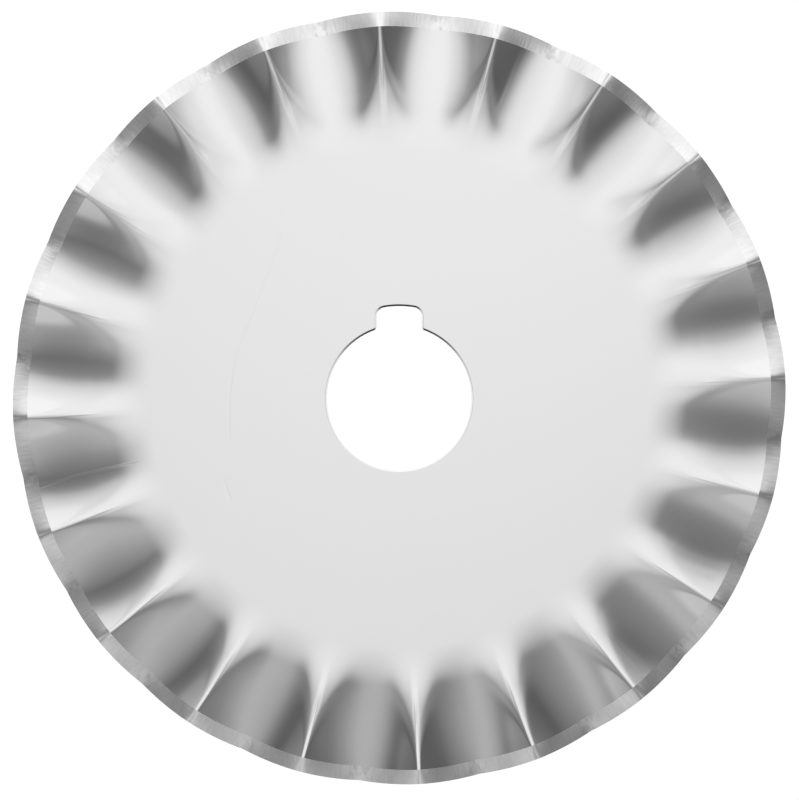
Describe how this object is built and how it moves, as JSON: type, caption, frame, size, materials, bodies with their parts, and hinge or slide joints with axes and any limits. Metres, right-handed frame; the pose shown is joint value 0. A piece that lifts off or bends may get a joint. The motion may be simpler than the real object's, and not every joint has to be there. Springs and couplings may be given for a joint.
{
  "type": "rotary cutter blade",
  "caption": "Thin round steel blade with a wavy rim ground sharp from both sides and a notched centre bore.",
  "frame": {"origin": "axis of the bore, at the middle of the sheet's thickness", "axes": "+Z along the bore's axis, out of the face on which the ridges stand up; +Y from the bore towards its notch"},
  "size_m": [0.045, 0.045, 0.0012],
  "materials": {
    "polished_steel": "polished stainless sheet with a satin ground edge"
  },
  "bodies": {
    "root": {"blade": "polished_steel"}
  },
  "joints": []
}
